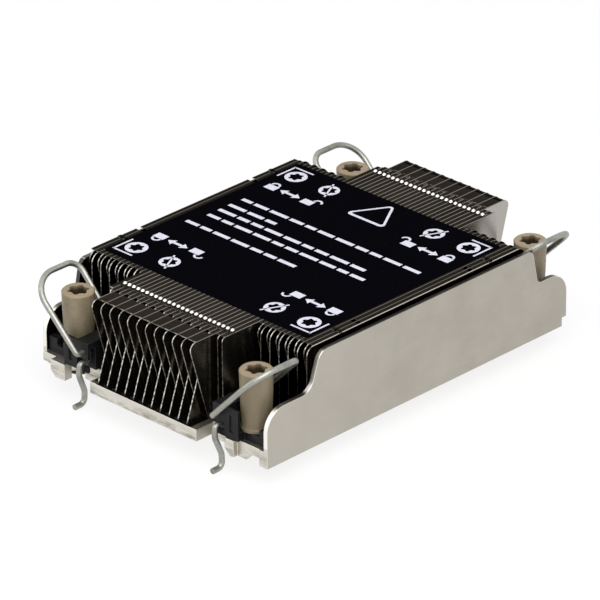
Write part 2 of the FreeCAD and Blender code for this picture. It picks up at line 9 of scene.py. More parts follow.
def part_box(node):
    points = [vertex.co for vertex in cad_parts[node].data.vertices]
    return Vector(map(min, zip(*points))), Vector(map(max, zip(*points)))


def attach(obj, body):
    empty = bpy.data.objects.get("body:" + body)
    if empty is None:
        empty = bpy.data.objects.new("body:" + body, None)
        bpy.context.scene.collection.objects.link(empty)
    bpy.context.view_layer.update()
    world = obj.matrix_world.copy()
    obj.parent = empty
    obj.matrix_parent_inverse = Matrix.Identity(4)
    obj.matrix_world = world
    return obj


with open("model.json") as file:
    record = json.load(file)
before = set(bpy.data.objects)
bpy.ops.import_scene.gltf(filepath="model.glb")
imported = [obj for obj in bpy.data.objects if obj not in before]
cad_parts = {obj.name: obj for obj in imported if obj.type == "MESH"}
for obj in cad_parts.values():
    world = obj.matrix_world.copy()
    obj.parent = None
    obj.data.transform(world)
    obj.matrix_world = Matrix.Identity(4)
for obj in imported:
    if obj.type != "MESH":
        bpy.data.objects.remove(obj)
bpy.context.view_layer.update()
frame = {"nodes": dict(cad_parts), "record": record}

# Passive server heatsink: finishes, label print, the ends of the back lips, near-white beads as painted
# highlights on the lock tabs and a plain studio. Units are metres, apart from the label's printed lines.

MM = 0.001


# ---------------------------------------------------------------- places read from the frame

label_low, label_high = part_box("label")
LABEL_TOP = label_high.z
STACK_TOP = label_low.z
third_web, fourth_web = (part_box(f"long_fin_{number:02d}")[1].x for number in (3, 4))
FIN_PITCH = fourth_web - third_web
CENTRE_FINS = sum(name.startswith("long_fin_") for name in frame["nodes"])
PLATE_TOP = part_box("long_fin_01")[0].z
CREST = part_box("base")[1].z
NOTCH_HEIGHT = STACK_TOP - 7.5 * MM
nut_low, nut_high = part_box("nut_back_right")
NUT_PLACE = (nut_low + nut_high) / 2
NUT_TOP = nut_high.z

# Past the step only every second fin reaches on at the top, and number 24 is the last of them.
TOP_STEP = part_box("long_fin_01")[1].y
LAST_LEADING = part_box("long_fin_24")[1].x - 0.6 * MM
PLAIN_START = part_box("long_fin_24")[1].x + 0.1 * MM
TIP_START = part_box("long_fin_24")[1].y - 4.0 * MM

# From the middle outward: where the side fins start, their last fold, and the wall's inner face.
SIDE_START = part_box("side_fins_right")[0].x
OUTER_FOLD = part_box("side_fins_right")[1].x - 0.35 * MM
WALL_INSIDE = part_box("side_fins_right")[1].x + 0.6 * MM


# ---------------------------------------------------------------- material building

BEVEL_SAMPLES = 6
# A face counts as turned to an axis past this share of its normal.
FACING = 0.7


class Finish:
    """A node material with short calls for the nodes that the finishes share."""

    def __init__(self, name):
        self.material = bpy.data.materials.new(name)
        self.material.use_nodes = True
        self.tree = self.material.node_tree
        self.tree.nodes.clear()
        self.output = self.tree.nodes.new("ShaderNodeOutputMaterial")
        self.shader = self.tree.nodes.new("ShaderNodeBsdfPrincipled")
        self.join(self.shader.outputs[0], self.output.inputs["Surface"])
        coordinates = self.tree.nodes.new("ShaderNodeTexCoord").outputs
        self.place, self.facing = coordinates["Object"], coordinates["Normal"]

    def join(self, source, target):
        self.tree.links.new(source, target)

    def feed(self, socket, value):
        if isinstance(value, bpy.types.NodeSocket):
            self.join(value, socket)
        else:
            socket.default_value = value

    def set(self, **values):
        for name, value in values.items():
            self.feed(self.shader.inputs[name.replace("_", " ")], value)

    # Arithmetic on values and masks.

    def math(self, operation, *values):
        node = self.tree.nodes.new("ShaderNodeMath")
        node.operation = operation
        for socket, value in zip(node.inputs, values):
            self.feed(socket, value)
        return node.outputs[0]

    def product(self, first, *others):
        for other in others:
            first = self.math("MULTIPLY", first, other)
        return first

    def inverse(self, mask):
        return self.math("SUBTRACT", 1.0, mask)

    def magnitude(self, value):
        return self.math("ABSOLUTE", value)

    def over(self, value, limit):
        return self.math("GREATER_THAN", value, limit)

    def under(self, value, limit):
        return self.math("LESS_THAN", value, limit)

    def remap(self, value, low, high, to_low=0.0, to_high=1.0):
        node = self.tree.nodes.new("ShaderNodeMapRange")
        for socket, amount in zip(node.inputs, (value, low, high, to_low, to_high)):
            self.feed(socket, amount)
        return node.outputs[0]

    # Places, directions and patterns.

    def axes(self, vector=None):
        node = self.tree.nodes.new("ShaderNodeSeparateXYZ")
        self.feed(node.inputs[0], vector or self.place)
        return tuple(node.outputs)

    def facings(self):
        """How far a face is turned towards each axis, either way."""
        return tuple(self.magnitude(axis) for axis in self.axes(self.facing))

    def stretched(self, factors):
        node = self.tree.nodes.new("ShaderNodeVectorMath")
        node.operation = "MULTIPLY"
        self.feed(node.inputs[0], self.place)
        node.inputs[1].default_value = factors
        return node.outputs[0]

    def noise(self, scale, detail=3.0, factors=None, roughness=0.55):
        node = self.tree.nodes.new("ShaderNodeTexNoise")
        node.inputs["Scale"].default_value = scale
        node.inputs["Detail"].default_value = detail
        node.inputs["Roughness"].default_value = roughness
        self.feed(node.inputs["Vector"], self.stretched(factors) if factors else self.place)
        return node.outputs["Fac"]

    def soften(self, radius):
        """Rounded edges in the shading only."""
        bevel = self.tree.nodes.new("ShaderNodeBevel")
        bevel.samples = BEVEL_SAMPLES
        bevel.inputs["Radius"].default_value = radius
        return bevel.outputs[0]

    def edges(self, radius):
        """Near 1 within a radius of the solid's edges and 0 on flat ground."""
        flat = self.tree.nodes.new("ShaderNodeNewGeometry")
        dot = self.tree.nodes.new("ShaderNodeVectorMath")
        dot.operation = "DOT_PRODUCT"
        self.join(self.soften(radius), dot.inputs[0])
        self.join(flat.outputs["True Normal"], dot.inputs[1])
        return self.remap(dot.outputs["Value"], 0.995, 0.86)

    def bump(self, height, strength, distance, normal=None):
        node = self.tree.nodes.new("ShaderNodeBump")
        node.inputs["Strength"].default_value = strength
        node.inputs["Distance"].default_value = distance
        self.feed(node.inputs["Height"], height)
        if normal:
            self.feed(node.inputs["Normal"], normal)
        return node.outputs[0]

    # Colours.

    def blend(self, factor, first, second):
        node = self.tree.nodes.new("ShaderNodeMix")
        node.data_type = "RGBA"
        self.feed(node.inputs[0], factor)
        for socket, colour in zip((node.inputs[6], node.inputs[7]), (first, second)):
            self.feed(socket, colour if isinstance(colour, bpy.types.NodeSocket) else (*colour, 1.0))
        return node.outputs[2]

    def mottled(self, pattern, first, second, low=0.3, high=0.7):
        """Two colours in the clouds of a noise pattern."""
        return self.blend(self.remap(pattern, low, high), first, second)

    def tint(self, colour, towards, mask, amount=1.0):
        """A colour drawn towards another one by a mask."""
        return self.blend(mask if amount == 1.0 else self.product(mask, amount), colour, towards)


# ---------------------------------------------------------------- plate

SATIN, SATIN_STAINED, SATIN_LIT = (0.48, 0.45, 0.395), (0.40, 0.37, 0.32), (0.53, 0.50, 0.445)
GRAIN_LINE = (0.30, 0.275, 0.235)
SAWN_METAL, SCUFFED_METAL = (0.72, 0.69, 0.62), (0.20, 0.18, 0.145)
# Edges rubbed bright with a painted highlight; the walls' sloped rims painted as highlight, their level rims
# painted as shade.
RUBBED_EDGE_HIGHLIGHT, SLOPED_RIM_HIGHLIGHT, LEVEL_RIM_SHADE = (0.86, 0.83, 0.76), (0.95, 0.92, 0.85), (0.07, 0.064, 0.055)
# Painted shade: the walls' inner faces and the floor between the fins, and the upper rims at the notched
# corners.
INSIDE_SHADE, NOTCH_SHADE = (0.018, 0.016, 0.013), (0.03, 0.027, 0.023)
FULLY_LIT_Y = -45 * MM
PLATE_EDGE = 0.3 * MM


def make_plate_finish():
    """Satin nickel-tinted metal: faint rolled grain, cloudy stains, and a paler front half."""
    finish = Finish("satin_plate")
    clouds = finish.noise(90, 4)
    grain = finish.noise(2600, 2, factors=(1.0, 0.06, 1.0))
    colour = finish.mottled(clouds, SATIN_STAINED, SATIN)
    colour = finish.tint(colour, GRAIN_LINE, finish.remap(grain, 0.35, 0.75), 0.12)
    colour = finish.tint(colour, SATIN_LIT, finish.remap(finish.axes()[1], 0.0, FULLY_LIT_Y, 0.0, 0.5))
    for treat in (scuff_sawn_ends, highlight_and_rub_rims, shade_inside, shade_notches):
        colour = treat(finish, colour)
    finish.set(Base_Color=colour, Metallic=1.0, Roughness=finish.remap(clouds, 0.3, 0.7, 0.36, 0.46),
               Normal=finish.bump(grain, 0.12, 0.03 * MM, finish.soften(PLATE_EDGE)))
    return finish.material


def scuff_sawn_ends(finish, colour):
    """The sawn ends of the plate are pale, with stained streaks that gather at the lower edge."""
    height = finish.axes()[2]
    sawn = finish.over(finish.facings()[1], FACING)
    colour = finish.tint(colour, SAWN_METAL, sawn, 0.8)
    streaks = finish.remap(finish.noise(420, 5, factors=(0.35, 1.0, 1.6), roughness=0.7), 0.45, 0.66)
    low_edge = finish.remap(height, PLATE_TOP - 0.8 * MM, PLATE_TOP - 2.2 * MM, 0.15, 0.85)
    scuffs = finish.product(streaks, sawn, low_edge, finish.under(height, PLATE_TOP))
    return finish.tint(colour, SCUFFED_METAL, scuffs)


def highlight_and_rub_rims(finish, colour):
    """Edges are rubbed bright and carry a painted highlight, apart from the crests. The walls' sloped rims
    carry a painted highlight, level ones painted shade.
    """
    height = finish.axes()[2]
    _, facing_y, facing_z = finish.facings()
    off_crest = finish.remap(height, CREST - 0.6 * MM, CREST - 0.4 * MM, 0.75, 0.05)
    colour = finish.tint(colour, RUBBED_EDGE_HIGHLIGHT, finish.product(finish.edges(PLATE_EDGE), off_crest))
    on_wall = finish.over(height, PLATE_TOP + 1.0 * MM)
    sloped = finish.product(on_wall, finish.remap(facing_y, 0.30, 0.55, 0.0, 0.9))
    colour = finish.tint(colour, SLOPED_RIM_HIGHLIGHT, sloped)
    level = finish.product(on_wall, finish.remap(facing_z, 0.90, 0.97, 0.0, 0.85))
    return finish.tint(colour, LEVEL_RIM_SHADE, level)


def shade_inside(finish, colour):
    """The walls' inner faces and the floor between the fins are painted dark as shade."""
    place_x, _, height = finish.axes()
    facing_x, _, facing_z = finish.facings()
    aside = finish.magnitude(place_x)
    walls = finish.product(finish.under(aside, WALL_INSIDE), finish.over(facing_x, FACING),
                           finish.over(height, PLATE_TOP + 0.1 * MM))
    floor = finish.product(finish.over(facing_z, FACING), finish.under(aside, PLAIN_START),
                           finish.over(height, PLATE_TOP - 0.2 * MM))
    return finish.tint(colour, INSIDE_SHADE, finish.math("MAXIMUM", walls, floor))


def shade_notches(finish, colour):
    """The upper rims carry painted shade at the two notched corners, which lie across from each other."""
    place_x, place_y, height = finish.axes()
    facing_x, _, facing_z = finish.facings()
    at_notch = finish.over(finish.product(place_x, place_y), 0.0)
    on_rim = finish.under(finish.math("MAXIMUM", facing_x, facing_z), 0.9)
    high = finish.remap(height, NOTCH_HEIGHT - 1.0 * MM, NOTCH_HEIGHT)
    # Painted shade on the upper rims at the notched corners.
    return finish.tint(colour, NOTCH_SHADE, finish.product(at_notch, on_rim, high), 0.95)


# ---------------------------------------------------------------- fins

# The flat tops are painted dark as a painted reflection, mottled with stains.
FLANGE_DARK_REFLECTION, FLANGE_DARK_REFLECTION_STAINED = (0.063, 0.057, 0.051), (0.047, 0.042, 0.038)
# Painted shade on the side fins: their tops darker and their webs near-black.
SIDE_FLANGE_SHADE, SIDE_WEB_SHADE = (0.044, 0.040, 0.036), (0.006, 0.0052, 0.0045)
# The web faces are painted darker than the metal as shade, more so in the front half.
WEB_FRONT_SHADE, WEB_BACK_SHADE, WEB_SHADED = (0.30, 0.275, 0.24), (0.45, 0.425, 0.39), (0.02, 0.018, 0.015)
# Painted highlight on the cut edges of the fins.
CUT_EDGE_HIGHLIGHT = (0.72, 0.68, 0.61)
GRAZING_TINT = (0.22, 0.20, 0.18, 1.0)
FOLD_CORE, FOLD_REACH = 0.085 * MM, 0.16 * MM


def make_fin_finish():
    """Folded sheet: smoky faces in painted shade, flanges painted dark as a reflection, and painted
    highlights on cut edges and folds.
    """
    finish = Finish("fin_sheet")
    facing_x, _, facing_z = finish.facings()
    place_x, place_y, _ = finish.axes()
    flat_top = finish.over(facing_z, 0.98)
    web = finish.over(facing_x, FACING)
    at_side = finish.over(finish.magnitude(place_x), SIDE_START)
    shaded = find_shaded_tips(finish)
    every_fold = find_folds(finish, FIN_PITCH, 0.5)

    cut = finish.inverse(finish.math("MAXIMUM", flat_top, web))
    bright = finish.math("MAXIMUM", brighten_cuts(finish, cut, at_side, shaded, every_fold),
                         brighten_folds(finish, flat_top, at_side, every_fold))

    clouds = finish.noise(160, 3, factors=(1.0, 0.25, 1.0))
    colour = finish.mottled(clouds, FLANGE_DARK_REFLECTION_STAINED, FLANGE_DARK_REFLECTION)
    colour = finish.tint(colour, SIDE_FLANGE_SHADE, at_side, 0.9)
    face = finish.blend(finish.over(place_y, 0.0), WEB_FRONT_SHADE, WEB_BACK_SHADE)
    face = finish.tint(face, WEB_SHADED, shaded)
    face = finish.tint(face, SIDE_WEB_SHADE, at_side)
    colour = finish.tint(colour, face, web)
    colour = finish.tint(colour, CUT_EDGE_HIGHLIGHT, bright)
    grain = finish.noise(3000, 2, factors=(1.0, 0.1, 1.0))
    finish.set(Base_Color=colour, Metallic=1.0, Roughness=finish.remap(web, 0.0, 1.0, 0.40, 0.24),
               Normal=finish.bump(grain, 0.12, 0.02 * MM), Specular_Tint=GRAZING_TINT)
    return finish.material


def find_shaded_tips(finish):
    """The high back tips of the leading fins, which stand in each other's shade."""
    place_x, place_y, height = finish.axes()
    return finish.product(finish.under(place_x, LAST_LEADING), finish.over(height, STACK_TOP - 2.5 * MM),
                          finish.over(place_y, TIP_START))


def find_folds(finish, pitch, phase):
    """A narrow line along Y at one place in every pitch."""
    step = finish.math("FRACT", finish.math("DIVIDE", finish.axes()[0], pitch))
    off = finish.magnitude(finish.math("SUBTRACT", step, phase))
    return finish.remap(off, FOLD_CORE / pitch, FOLD_REACH / pitch, 1.0, 0.0)


def brighten_folds(finish, flat_top, at_side, every_fold):
    """Flat tops have a painted highlight along every fold, and along every second one past the step."""
    place_x, place_y, _ = finish.axes()
    short_of_step = finish.inverse(finish.over(finish.magnitude(place_y), TOP_STEP))
    second_folds = find_folds(finish, FIN_PITCH * 2, 0.25)
    fold = finish.math("MINIMUM", every_fold, finish.math("MAXIMUM", second_folds, short_of_step))
    outer = finish.over(place_x, OUTER_FOLD)
    strength = finish.remap(at_side, 0.0, 1.0, 0.42, 0.26)
    strength = finish.math("MAXIMUM", strength, finish.product(outer, 0.9))
    return finish.product(finish.math("MAXIMUM", fold, outer), flat_top, strength)


def brighten_cuts(finish, cut, at_side, shaded, every_fold):
    """Painted highlights glint on cut edges in specks: less below, and dimmed by painted shade deep in the
    side fins, on the foot lips and in shade.
    """
    place_x, _, height = finish.axes()
    along_z = finish.axes(finish.facing)[2]
    specks = finish.remap(finish.noise(1300, 2), 0.42, 0.58, 0.22, 1.0)
    from_above = finish.remap(along_z, -0.35, -0.1, 0.5, 1.0)

    plain = finish.over(finish.magnitude(place_x), PLAIN_START)
    depth_loss = finish.remap(height, STACK_TOP - 9.5 * MM, STACK_TOP - 7.5 * MM, 0.78, 0.1)
    loss = finish.remap(at_side, 0.0, 1.0, 0.6, depth_loss)
    kept = finish.inverse(finish.product(plain, finish.under(along_z, 0.02), loss))
    off_foot = finish.remap(height, PLATE_TOP + 0.3 * MM, PLATE_TOP + 0.6 * MM, 0.1, 1.0)

    shaded_round = finish.product(shaded, finish.remap(along_z, 0.2, 0.4))
    out_of_shade = finish.remap(shaded_round, 0.0, 1.0, 1.0, 0.2)
    off_round = finish.inverse(finish.remap(along_z, 0.36, 0.42))
    thin = finish.math("MAXIMUM", every_fold, off_round)
    return finish.product(cut, specks, from_above, kept, off_foot, out_of_shade, thin)


# ---------------------------------------------------------------- label, retainers, nuts and wires

FILM, FILM_DUST = (0.0022, 0.0022, 0.0036), (0.045, 0.045, 0.05)
INK, INK_THIN = (0.74, 0.74, 0.84), (0.60, 0.60, 0.70)
PLASTIC, PLASTIC_PALE, PLASTIC_WORN_HIGHLIGHT = (0.006, 0.006, 0.0068), (0.0125, 0.0125, 0.014), (0.10, 0.10, 0.11)
RESIN, RESIN_DARK, RESIN_FOOT_SHADE = (0.285, 0.24, 0.16), (0.195, 0.16, 0.103), (0.13, 0.10, 0.06)
RESIN_STAIN, RESIN_EDGE_HIGHLIGHT, RESIN_RIM = (0.17, 0.125, 0.07), (0.56, 0.47, 0.33), (0.33, 0.25, 0.16)
DRIVE_SHADE, DRIVE_REACH = (0.05, 0.033, 0.018), 2.95 * MM
TURNED, TURNED_DARK = (0.68, 0.65, 0.60), (0.48, 0.45, 0.40)
WIRE, WIRE_DARK, WIRE_PATCH = (0.40, 0.40, 0.365), (0.30, 0.30, 0.27), (0.17, 0.168, 0.15)
# Near-white domes on the lock tabs stand in for their highlights; their sides carry painted shade.
TAB_HIGHLIGHT, TAB_HIGHLIGHT_DIM, TAB_HIGHLIGHT_SIDE_SHADE = (0.99, 0.98, 0.95), (0.90, 0.87, 0.81), (0.10, 0.085, 0.065)


def make_label_finish():
    """Matt black film with dust and faint waves."""
    finish = Finish("label_film")
    waves = finish.noise(60, 2)
    dust = finish.remap(finish.noise(2200, 2), 0.70, 0.76)
    colour = finish.blend(finish.product(dust, 0.3), FILM, FILM_DUST)
    finish.set(Base_Color=colour, Roughness=finish.remap(waves, 0.3, 0.7, 0.36, 0.44),
               Normal=finish.bump(waves, 0.12, 0.4 * MM), Specular_IOR_Level=0.0)
    return finish.material


def make_print_finish():
    """Pale ink of the label's simple shapes."""
    finish = Finish("label_ink")
    colour = finish.mottled(finish.noise(1200, 2), INK_THIN, INK, 0.35, 0.65)
    finish.set(Base_Color=colour, Roughness=0.5)
    return finish.material


def make_retainer_finish():
    """Moulded black plastic with a fine texture and paler edges, part wear and part painted highlight."""
    finish = Finish("retainer_plastic")
    edge = 0.12 * MM
    texture = finish.noise(1800, 3)
    colour = finish.mottled(finish.noise(250, 3), PLASTIC, PLASTIC_PALE)
    # Paler edges: part wear, part painted highlight.
    colour = finish.tint(colour, PLASTIC_WORN_HIGHLIGHT, finish.edges(edge), 0.6)
    finish.set(Base_Color=colour, Roughness=finish.remap(texture, 0.3, 0.7, 0.34, 0.5),
               Normal=finish.bump(texture, 0.2, 0.03 * MM, finish.soften(edge)), Specular_IOR_Level=0.18)
    return finish.material


def make_nut_finish():
    """Natural tan resin: mottled, with painted shade towards its foot, dark in the drive, and paler rims with
    a painted highlight on the edges.
    """
    finish = Finish("nut_resin")
    height = finish.axes()[2]
    mottle = finish.noise(1400, 2)
    colour = finish.mottled(finish.noise(220, 4, factors=(1.0, 1.0, 0.35)), RESIN_DARK, RESIN)
    # Painted shade towards the nut's foot.
    foot = finish.remap(height, NUT_TOP - 4.0 * MM, PLATE_TOP + 4.0 * MM)
    colour = finish.tint(colour, RESIN_FOOT_SHADE, foot, 0.45)
    colour = finish.tint(colour, RESIN_STAIN, finish.remap(mottle, 0.45, 0.7), 0.3)
    # Painted highlight along the nut's edges.
    colour = finish.tint(colour, RESIN_EDGE_HIGHLIGHT, finish.edges(0.2 * MM), 0.5)
    rim = finish.remap(height, NUT_TOP - 0.6 * MM, NUT_TOP - 0.1 * MM, 0.0, 0.75)
    colour = finish.tint(colour, RESIN_RIM, rim)
    colour = finish.tint(colour, DRIVE_SHADE, find_drive(finish))
    finish.set(Base_Color=colour, Roughness=finish.remap(mottle, 0.3, 0.7, 0.34, 0.46),
               Normal=finish.bump(mottle, 0.15, 0.04 * MM, finish.soften(0.15 * MM)),
               Subsurface_Weight=0.08, Subsurface_Scale=0.5 * MM, Specular_IOR_Level=0.3)
    return finish.material


def find_drive(finish):
    """The opening in a nut's top, more so further down. The four nuts stand at mirrored places."""
    place_x, place_y, height = finish.axes()
    off_x = finish.math("SUBTRACT", finish.magnitude(place_x), NUT_PLACE.x)
    off_y = finish.math("SUBTRACT", finish.magnitude(place_y), NUT_PLACE.y)
    square = finish.math("ADD", finish.product(off_x, off_x), finish.product(off_y, off_y))
    inside = finish.under(finish.math("SQRT", square), DRIVE_REACH)
    return finish.product(inside, finish.remap(height, NUT_TOP - 0.1 * MM, NUT_TOP - 1.3 * MM))


def make_insert_finish():
    """Turned metal core: rings along its axis."""
    finish = Finish("insert_metal")
    rings = finish.noise(2400, 2, factors=(0.05, 0.05, 1.0))
    finish.set(Base_Color=finish.blend(rings, TURNED_DARK, TURNED), Metallic=1.0, Roughness=0.32,
               Normal=finish.bump(rings, 0.4, 0.05 * MM))
    return finish.material


def make_wire_finish():
    """Drawn spring wire: fine streaks, dull patches and a satin body."""
    finish = Finish("spring_wire")
    streaks = finish.noise(2600, 3)
    patches = finish.noise(180, 2)
    colour = finish.mottled(streaks, WIRE_DARK, WIRE, 0.35, 0.65)
    colour = finish.tint(colour, WIRE_PATCH, finish.remap(patches, 0.5, 0.75), 0.8)
    finish.set(Base_Color=colour, Metallic=1.0, Roughness=finish.remap(patches, 0.3, 0.7, 0.40, 0.50),
               Normal=finish.bump(streaks, 0.06, 0.02 * MM))
    return finish.material


def make_tab_highlight_finish():
    """Near-white domes on the lock tabs as painted highlights, with painted shade on their sides."""
    finish = Finish("tab_highlight_bead")
    mottle = finish.noise(1600, 2)
    shaded_sides = finish.remap(finish.axes(finish.facing)[2], 0.55, 0.1)
    colour = finish.tint(finish.blend(mottle, TAB_HIGHLIGHT_DIM, TAB_HIGHLIGHT), TAB_HIGHLIGHT_SIDE_SHADE, shaded_sides)
    finish.set(Base_Color=colour, Metallic=1.0, Roughness=0.3, Normal=finish.bump(mottle, 0.2, 0.04 * MM))
    return finish.material


FINISHES = {
    "plate": make_plate_finish(),
    "fins": make_fin_finish(),
    "label": make_label_finish(),
    "retainer": make_retainer_finish(),
    "nut": make_nut_finish(),
    "insert": make_insert_finish(),
    "clip": make_retainer_finish(),
    "wire": make_wire_finish(),
}


def dress_nodes():
    for part in frame["record"]["subparts"]:
        node = frame["nodes"][part["node"]]
        for held in node.material_slots:
            held.link = "OBJECT"
            held.material = FINISHES[part["material_slot"]]


# ---------------------------------------------------------------- mesh pieces

def add_piece(name, mesh_maker, finish, body):
    mesh = bpy.data.meshes.new(name)
    work = bmesh.new()
    mesh_maker(work)
    bmesh.ops.recalc_face_normals(work, faces=work.faces)
    work.to_mesh(mesh)
    work.free()
    piece = bpy.data.objects.new(name, mesh)
    bpy.context.scene.collection.objects.link(piece)
    mesh.materials.append(finish)
    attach(piece, body)
    return piece


# ---------------------------------------------------------------- outlines and strokes of ink

INK_LIFT = 0.004 * MM
INK_THICK = 0.02 * MM


def add_plate(work, points):
    """A thin raised patch of ink with the given outline on the label."""
    low = [work.verts.new((x, y, LABEL_TOP + INK_LIFT)) for x, y in points]
    high = [work.verts.new((x, y, LABEL_TOP + INK_LIFT + INK_THICK)) for x, y in points]
    work.faces.new(high)
    work.faces.new(low)
    for step in range(len(points)):
        following = (step + 1) % len(points)
        work.faces.new((low[step], low[following], high[following], high[step]))


def add_band(work, outer, inner):
    """A closed band of ink between two outlines with as many points each."""
    count = len(outer)
    rings = []
    for outline in (outer, inner):
        for lift in (INK_LIFT, INK_LIFT + INK_THICK):
            rings.append([work.verts.new((x, y, LABEL_TOP + lift)) for x, y in outline])
    outer_low, outer_high, inner_low, inner_high = rings
    for step in range(count):
        after = (step + 1) % count
        work.faces.new((outer_low[step], outer_low[after], outer_high[after], outer_high[step]))
        work.faces.new((inner_low[step], inner_high[step], inner_high[after], inner_low[after]))
        work.faces.new((outer_high[step], outer_high[after], inner_high[after], inner_high[step]))
        work.faces.new((outer_low[step], inner_low[step], inner_low[after], outer_low[after]))


def stroke(work, start, end, width):
    run = Vector(end) - Vector(start)
    side = Vector((-run.y, run.x)).normalized() * width / 2
    corners = [Vector(start) + side, Vector(start) - side, Vector(end) - side, Vector(end) + side]
    add_plate(work, [tuple(corner) for corner in corners])


def arc(x, y, radius, count, start=0.0, sweep=math.tau):
    """Points on a circle, or on a stretch of one without the very end of the sweep."""
    angles = [start + sweep * step / count for step in range(count)]
    return [(x + radius * math.cos(angle), y + radius * math.sin(angle)) for angle in angles]


def lobed(x, y, radius, depth, count):
    """Six-lobed outline of a screw drive."""
    points = []
    for step in range(count):
        angle = math.tau * step / count
        reach = radius * (1 + depth * math.cos(6 * angle))
        points.append((x + reach * math.cos(angle), y + reach * math.sin(angle)))
    return points


def rounded_triangle(x, y, width, height, radius, count=8):
    corners = [Vector((x - width / 2, y)), Vector((x + width / 2, y)), Vector((x, y + height))]
    centre = sum(corners, Vector((0.0, 0.0))) / 3
    points = []
    for corner in corners:
        inward = (centre - corner).normalized()
        middle = corner + inward * radius * 2
        start = math.atan2(-inward.y, -inward.x) - math.pi / 3
        points += arc(middle.x, middle.y, radius, count, start, math.tau / 3 * count / (count - 1))
    return points


# ---------------------------------------------------------------- label print

# The icons of the four corners are placed from the middle of the print.
PRINT_MIDDLE = -1.2 * MM
DRIVES_Y, NUT_ICON_X, TURN_ICON_X = 28.0 * MM, 29.6 * MM, 18.0 * MM
LOCKS_Y, CLOSED_LOCK_X, ARROW_X, OPEN_LOCK_X = 19.7 * MM, 29.8 * MM, 23.6 * MM, 17.3 * MM
MARK_X, MARK_Y = 33.6 * MM, 31.9 * MM

NUT_ICON_RADIUS, TURN_ICON_RADIUS = 2.95 * MM, 2.75 * MM
DRIVE_RADIUS, DRIVE_DEPTH, RING_POINTS = 1.75 * MM, 0.16, 48
MARK_X_ARM, MARK_Y_ARM, MARK_OVERSHOOT, MARK_WIDTH = 6.4 * MM, 6.6 * MM, 0.25 * MM, 0.55 * MM
SLASH_HALF, SLASH_LEAN, SLASH_WIDTH = 3.8 * MM, 0.5, 0.5 * MM
LOCK_HALF, LOCK_FOOT, LOCK_HEAD = 1.75 * MM, 1.5 * MM, 0.9 * MM
SHACKLE_Y, SHACKLE_SHIFT, SHACKLE_POINTS = 1.1 * MM, 2.2 * MM, 17
SHACKLE_RADII = (1.45 * MM, 0.85 * MM)
ARROW_HALF, ARROW_HEAD, SHAFT_HALF, HEAD_HALF = 3.4 * MM, 2.0 * MM, 0.45 * MM, 1.35 * MM

# The triangle's outlines: foot, width, height and corner radius.
TRIANGLE_X = -1.1 * MM
TRIANGLE_OUTER = (21.6 * MM, 13.6 * MM, 11.4 * MM, 1.1 * MM)
TRIANGLE_INNER = (22.5 * MM, 11.0 * MM, 9.2 * MM, 0.55 * MM)

# The printed lines and their bars are in millimetres. A line has its place along Y, start and end.
LINES = ((9.5, -31.4, 30.5), (5.0, -31.6, -13.2), (1.3, -31.5, 18.8), (-2.6, -31.4, 22.9), (-8.8, -32.8, 6.7))
BAR_LENGTH, BAR_SPREAD, BAR_RHYTHM = 3.4, 2.6, 2.3
BAR_GAP, SHORTEST_BAR, BAR_WIDTH = 0.9, 1.5, 1.25


def draw_label(work):
    for side, end in ((-1, -1), (1, -1), (-1, 1), (1, 1)):
        draw_corner(work, side, end)
    draw_triangle(work)
    draw_lines(work)


def draw_corner(work, side, end):
    """Drive symbols, padlocks and a double arrow of one corner."""
    drives_y = end * DRIVES_Y
    draw_drive(work, PRINT_MIDDLE + side * NUT_ICON_X, drives_y, NUT_ICON_RADIUS)
    mark_x, mark_y = PRINT_MIDDLE + side * MARK_X, end * MARK_Y
    stroke(work, (mark_x, mark_y + end * MARK_OVERSHOOT), (mark_x, mark_y - end * MARK_Y_ARM), MARK_WIDTH)
    stroke(work, (mark_x, mark_y), (mark_x - side * MARK_X_ARM, mark_y), MARK_WIDTH)

    turn_x = PRINT_MIDDLE + side * TURN_ICON_X
    draw_drive(work, turn_x, drives_y, TURN_ICON_RADIUS)
    lean = Vector((SLASH_LEAN * side, 1.0)).normalized() * SLASH_HALF
    middle = Vector((turn_x, drives_y))
    stroke(work, tuple(middle - lean), tuple(middle + lean), SLASH_WIDTH)

    locks_y = end * LOCKS_Y
    draw_padlock(work, PRINT_MIDDLE + side * CLOSED_LOCK_X, locks_y, end, True)
    draw_padlock(work, PRINT_MIDDLE + side * OPEN_LOCK_X, locks_y, end, False)
    draw_arrow(work, PRINT_MIDDLE + side * ARROW_X, locks_y)


def draw_drive(work, x, y, radius):
    """A disc with a six-lobed opening."""
    add_band(work, arc(x, y, radius, RING_POINTS), lobed(x, y, DRIVE_RADIUS, DRIVE_DEPTH, RING_POINTS))


def draw_padlock(work, x, y, end, closed):
    """A body and a shackle, upright towards the label's end. An open lock's shackle stands aside."""
    add_plate(work, [(x - LOCK_HALF, y - end * LOCK_FOOT), (x + LOCK_HALF, y - end * LOCK_FOOT),
                     (x + LOCK_HALF, y + end * LOCK_HEAD), (x - LOCK_HALF, y + end * LOCK_HEAD)])
    shift = 0.0 if closed else SHACKLE_SHIFT * (-1 if x > 0 else 1)
    sweep = end * math.pi * SHACKLE_POINTS / (SHACKLE_POINTS - 1)
    outer, inner = (arc(x + shift, y + end * SHACKLE_Y, radius, SHACKLE_POINTS, 0.0, sweep)
                    for radius in SHACKLE_RADII)
    add_plate(work, outer + inner[::-1])


def draw_arrow(work, x, y):
    """A short arrow with a head at both ends."""
    left, right = x - ARROW_HALF, x + ARROW_HALF
    left_neck, right_neck = left + ARROW_HEAD, right - ARROW_HEAD
    add_plate(work, [(left, y), (left_neck, y - HEAD_HALF), (left_neck, y - SHAFT_HALF),
                     (right_neck, y - SHAFT_HALF), (right_neck, y - HEAD_HALF), (right, y),
                     (right_neck, y + HEAD_HALF), (right_neck, y + SHAFT_HALF),
                     (left_neck, y + SHAFT_HALF), (left_neck, y + HEAD_HALF)])


